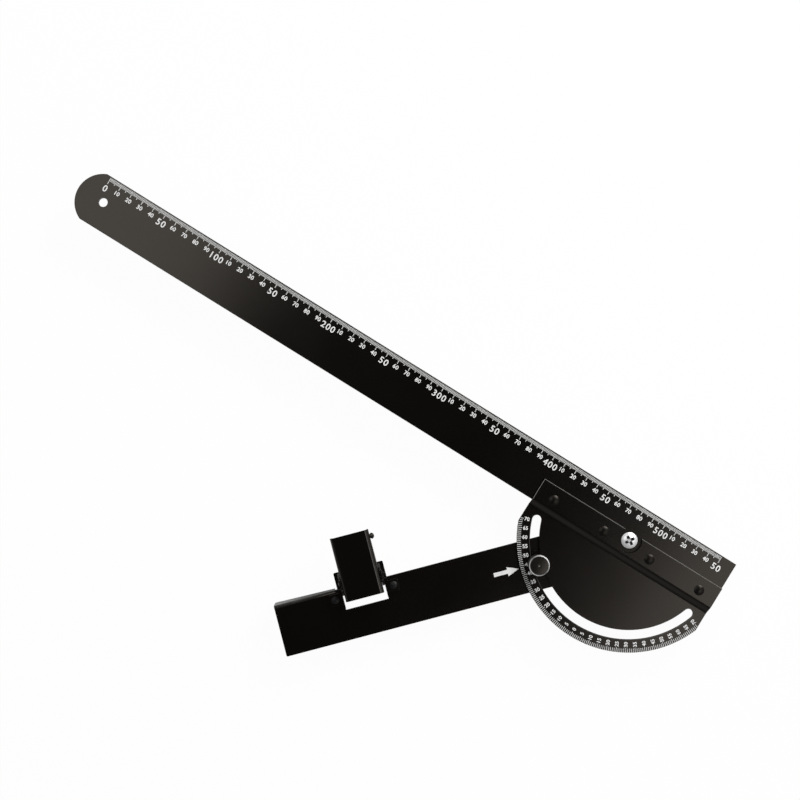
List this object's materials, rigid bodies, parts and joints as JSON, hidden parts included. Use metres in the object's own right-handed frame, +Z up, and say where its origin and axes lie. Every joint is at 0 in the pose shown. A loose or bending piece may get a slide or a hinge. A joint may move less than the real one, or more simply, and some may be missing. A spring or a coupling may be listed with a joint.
{
  "type": "circular saw guide ruler",
  "caption": "Long millimetre rule with a half-disc degree scale, a swinging fence arm with a locking knob and a sprung hold-down lever, for guiding a circular saw.",
  "frame": {"origin": "the scale's zero on the edge that guides the saw, at half the rule's thickness", "axes": "+X along the scale towards its higher numbers, +Y out of the guide edge, +Z up from the board"},
  "size_m": [0.58, 0.2409, 0.0349],
  "materials": {
    "ruler_blade": "black anodised, satin",
    "protractor_plate": "black coated steel, satin",
    "plate_rivet": "black coated steel, satin",
    "fence_arm": "black coated steel, satin",
    "hold_down": "black coated steel, satin",
    "lock_knob": "black anodised, satin",
    "plated_steel": "bright zinc plated steel",
    "spring_steel": "drawn spring wire",
    "nylon": "natural nylon",
    "toe_block": "moulded black plastic",
    "toe_sole": "black rubber"
  },
  "bodies": {
    "ruler": {"ruler_blade": "ruler_blade", "protractor_plate": "protractor_plate", "plate_rivet_1": "plate_rivet", "plate_rivet_2": "plate_rivet", "plate_rivet_3": "plate_rivet", "plate_rivet_4": "plate_rivet", "pivot_screw": "plated_steel", "pivot_bush": "plated_steel", "friction_washer": "nylon", "pivot_washer": "plated_steel", "pivot_nut": "plated_steel", "nut_ring": "nylon"},
    "arm": {"fence_arm": "fence_arm", "lock_stud": "plated_steel", "lever_bracket": "hold_down", "bracket_rivet_1": "hold_down", "bracket_rivet_2": "hold_down", "hinge_pin": "hold_down", "hinge_clip": "hold_down", "lever_spring": "spring_steel"},
    "washer": {"lock_washer": "plated_steel"},
    "knob": {"lock_knob": "lock_knob"},
    "lever": {"hold_down_lever": "hold_down", "toe_pin": "hold_down"},
    "toe": {"toe_block": "toe_block", "toe_sole": "toe_sole"}
  },
  "joints": [
    {"name": "arm_swing", "type": "hinge", "parent": "ruler", "child": "arm", "pos_m": [0.4826, -0.0275, 0], "axis": [0, 0, 1], "range_deg": [-26.37, 113.63]},
    {"name": "knob_travel", "type": "slide", "parent": "arm", "child": "washer", "axis": [0, 0, 1], "range_m": [0, 0.0015]},
    {"name": "knob_turn", "type": "hinge", "parent": "washer", "child": "knob", "pos_m": [0.43251, -0.08005, 0], "axis": [0, 0, 1], "range_deg": [0, 540]},
    {"name": "lever_tip", "type": "hinge", "parent": "arm", "child": "lever", "pos_m": [0.32296, -0.16061, 0.0042], "axis": [0.69, 0.7238, 0], "range_deg": [0, 40], "stiffness_Nm_per_rad": 0.12, "springref_deg": -31.51, "deforming": ["lever_spring"]},
    {"name": "toe_swivel", "type": "hinge", "parent": "lever", "child": "toe", "pos_m": [0.30117, -0.13984, 0.0052], "axis": [0.69, 0.7238, 0], "range_deg": [-10, 10]}
  ],
  "couplings": [
    {"joint": "knob_turn", "follows": "knob_travel", "rad_per_m": 6283.2}
  ]
}
